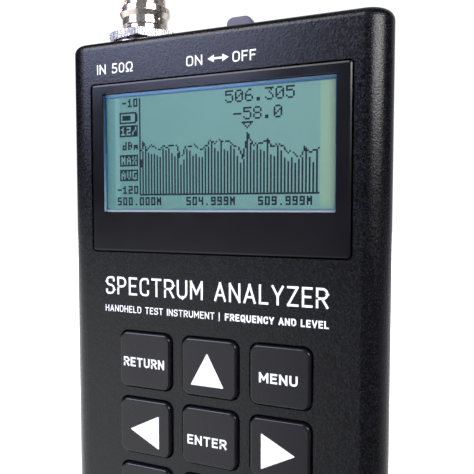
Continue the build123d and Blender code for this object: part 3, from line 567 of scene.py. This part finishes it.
# The held trace, as rows above the base line at a few columns, and live bars under it.
TRACE = ((17, 27), (18, 31.5), (21, 27.5), (24, 29.5), (27, 28.5), (29, 26.5), (32, 29), (35, 28.5),
         (38, 28.5), (41, 28.5), (43, 22), (45, 23), (47, 28), (50, 28), (54, 28.5), (57, 25.5), (61, 28.5),
         (63, 30.5),
         (66, 29.5), (69, 30.5), (75, 29.5), (77, 28), (80, 27), (83, 20), (85, 29), (86, 34.5), (87, 31),
         (90, 27), (94, 28.5), (98, 29.5), (100, 25.5), (104, 27.5), (107, 26), (110, 22), (112, 23.5),
         (115, 20), (117, 20), (119, 24.5), (123, 22), (128, 23.5))
LIVE_GAPS = (5, 5, 2, 3, 1, 4, 6, 1, 5, 6, 2, 3, 6, 5)


def held_level(column):
    for (c0, h0), (c1, h1) in zip(TRACE, TRACE[1:]):
        if c0 <= column <= c1:
            return h0 + (h1 - h0) * (column - c0) / (c1 - c0)
    return TRACE[-1][1]


previous = None
for column in range(AXIS_COLUMN + 1, COLUMNS):
    level = round(held_level(column) + 0.9 * wobble(column // 2, 1.0) - 0.45)
    row = BASE_ROW - level
    if previous is not None and abs(row - previous) > 1:
        step = 1 if row > previous else -1
        dots |= {(column, r) for r in range(previous + step, row, step)}
    if column % 4 or abs(row - (previous or row)) > 0:
        dots.add((column, row))
    previous = row
    if column % 2 == 0:
        bar = round(held_level(column)) - LIVE_GAPS[column // 2 % len(LIVE_GAPS)]
        dots |= {(column, r) for r in range(BASE_ROW - bar, BASE_ROW)}
# The peak marker, a triangle that points down.
for k in range(4):
    dots |= {(83 + k, 17 + k), (89 - k, 17 + k)}
dots |= {(c, 17) for c in range(83, 90)}

glass_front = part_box("lcd_glass")[0][1] / MM
screen = Print(glass_front, 0.01)
half_dot = DOT_PITCH * 0.49
for column, row in sorted(dots):
    x = SCREEN_LEFT + (column + 0.5) * DOT_PITCH
    z = SCREEN_TOP - (row + 0.5) * DOT_PITCH
    screen.polygon([(x - half_dot, z - half_dot), (x + half_dot, z - half_dot), (x + half_dot, z + half_dot),
                    (x - half_dot, z + half_dot)])
screen.finish("display_dots", "case", lcd_ink)


# A folded lip of the display frame lines the left side of the window.
def frame_lip():
    m = Nodes("frame_lip", metallic=0.3, roughness=0.35)
    # Painted reflection: the lip is pale at the bottom and dark blue at the top.
    height = m.remap(m.axis(2), 0.0755, 0.1015, 0.0, 1.0)
    painted_reflection_ramp = m.ramp(height, ((0.0, rgb(200, 225, 235)), (0.35, rgb(120, 160, 195)), (0.7, rgb(70, 110, 145)),
                           (1.0, rgb(40, 80, 112))))
    m.set("Base Color", m.mix(m.math("MULTIPLY", m.noise(1500.0, 2.0), 0.2), painted_reflection_ramp, rgb(60, 90, 120)))
    return m.material


lip = Print(glass_front, 0.0)
view_left = -26.42
lip.verts = [(x, y, z) for x in (view_left, view_left + 0.06) for y in (-12.3, glass_front - 0.02)
             for z in (75.45, 101.75)]
lip.faces = [(0, 1, 3, 2), (4, 6, 7, 5), (0, 4, 5, 1), (2, 3, 7, 6), (0, 2, 6, 4), (1, 5, 7, 3)]
lip.finish("display_lip", "case", frame_lip())


# ------------------------------------------------------------------ stage, lights, camera
FLOOR_R = 1600
floor = mesh_object(
    "floor",
    [(FLOOR_R * math.cos(k * math.tau / 64), FLOOR_R * math.sin(k * math.tau / 64), 0) for k in range(64)],
    [tuple(range(64))],
)
floor.data.materials.append(floor_sheet())
floor.visible_glossy = False

world = bpy.data.worlds.new("studio")
world.use_nodes = True
sky = world.node_tree
split = sky.nodes.new("ShaderNodeSeparateXYZ")
sky.links.new(sky.nodes.new("ShaderNodeTexCoord").outputs["Generated"], split.inputs[0])


def sky_math(operation, a, b):
    node = sky.nodes.new("ShaderNodeMath")
    node.operation = operation
    for socket, value in zip(node.inputs, (a, b)):
        if isinstance(value, bpy.types.NodeSocket):
            sky.links.new(value, socket)
        else:
            socket.default_value = value
    return node.outputs[0]


def sky_step(value, low, high):
    node = sky.nodes.new("ShaderNodeMapRange")
    node.interpolation_type = "SMOOTHSTEP"
    node.inputs[1].default_value = low
    node.inputs[2].default_value = high
    sky.links.new(value, node.inputs[0])
    return node.outputs[0]


def towards(turn):
    """How nearly a direction points along a heading, whatever its height: 1 is straight along it."""
    along = sky_math("ADD", sky_math("MULTIPLY", split.outputs[1], math.cos(turn)),
                     sky_math("MULTIPLY", split.outputs[0], -math.sin(turn)))
    return sky_math("DIVIDE", along, flat_length)


# A dim room with a bright paper backdrop behind the object. The lower half is the floor as the
# object mirrors it: dark to the right, lit to the front left and to the rear. Headings turn left from +Y.
ROOM, PAPER, LOW_FLOOR, LIT_FLOOR, REAR_FLOOR, REAR_WALL, GLOW = 0.025, 1.1, 0.06, 1.35, 0.55, 0.5, 0.1
height = split.outputs[2]
flat_square = sky_math("SUBTRACT", 1.0, sky_math("MULTIPLY", height, height))
flat_length = sky_math("SQRT", sky_math("MAXIMUM", flat_square, 1e-4), 0.0)
paper = sky_math("MULTIPLY", sky_step(towards(math.radians(27.0)), 0.858, 0.876),
                 sky_math("SUBTRACT", 1.0, sky_step(height, 0.37, 0.43)))
lit_floor = sky_math("MULTIPLY", sky_step(towards(math.radians(90.0)), 0.06, 0.48), LIT_FLOOR)
rear_floor = sky_math("MULTIPLY", sky_step(towards(0.0), -0.45, 0.6), REAR_FLOOR)
rear_wall = sky_math("MULTIPLY", sky_step(towards(0.0), 0.5, 1.0), REAR_WALL)
below = sky_step(sky_math("MULTIPLY", height, -1.0), -0.05, 0.22)
ground = sky_math("MULTIPLY", sky_math("ADD", sky_math("ADD", lit_floor, rear_floor), LOW_FLOOR), below)
glow = sky_math("MULTIPLY", sky_math("MULTIPLY", sky_step(height, 0.26, 0.36), GLOW),
                sky_step(sky_math("MULTIPLY", split.outputs[1], -1.0), 0.0, 0.4))
surround = sky_math("ADD", sky_math("ADD", ground, ROOM), sky_math("ADD", glow, rear_wall))
level = sky_math("ADD", surround, sky_math("MULTIPLY", paper, sky_math("SUBTRACT", PAPER, surround)))
# What the camera sees directly is plain paper all round; the room shows only in reflections.
seen = sky.nodes.new("ShaderNodeLightPath").outputs["Is Camera Ray"]
level = sky_math("ADD", level, sky_math("MULTIPLY", seen, sky_math("SUBTRACT", PAPER, level)))
sky.links.new(level, sky.nodes["Background"].inputs["Strength"])
sky.nodes["Background"].inputs["Color"].default_value = (0.97, 0.98, 1.0, 1.0)
bpy.context.scene.world = world


def area_light(name, place, aim, size, power, color=(1, 1, 1)):
    data = bpy.data.lights.new(name, "AREA")
    data.shape = "RECTANGLE"
    data.size, data.size_y = size[0] * MM, size[1] * MM
    data.energy = power
    data.color = color
    lamp = link(bpy.data.objects.new(name, data))
    lamp.location = Vector(place) * MM
    lamp.rotation_euler = (Vector(aim) - Vector(place)).to_track_quat("-Z", "Y").to_euler()
    return lamp


area_light("key_light", (-430, -615, 425), (0, -12, 100), (440, 296), 2.6, (0.78, 0.85, 1.28))
area_light("front_fill", (-300, -485, 602), (0, -12, 100), (460, 240), 2.7, (0.96, 0.95, 1.0))
area_light("right_light", (485, -345, 290), (20, -12, 100), (430, 130), 2.2)
area_light("floor_light", (-200, 1000, 900), (-200, 700, 0), (2000, 1200), 60.0).visible_glossy = False

camera = link(bpy.data.objects.new("camera", bpy.data.cameras.new("camera")))
camera.data.sensor_width = 36.0
camera.data.lens = 41.2
camera.data.clip_start = 0.005
camera.location = Vector((47.58, -115.79, 76.29)) * MM
camera.rotation_euler = (math.radians(90 - 3.048), 0.0, math.radians(21.868))
bpy.context.scene.camera = camera
bpy.context.scene.view_settings.view_transform = "Standard"
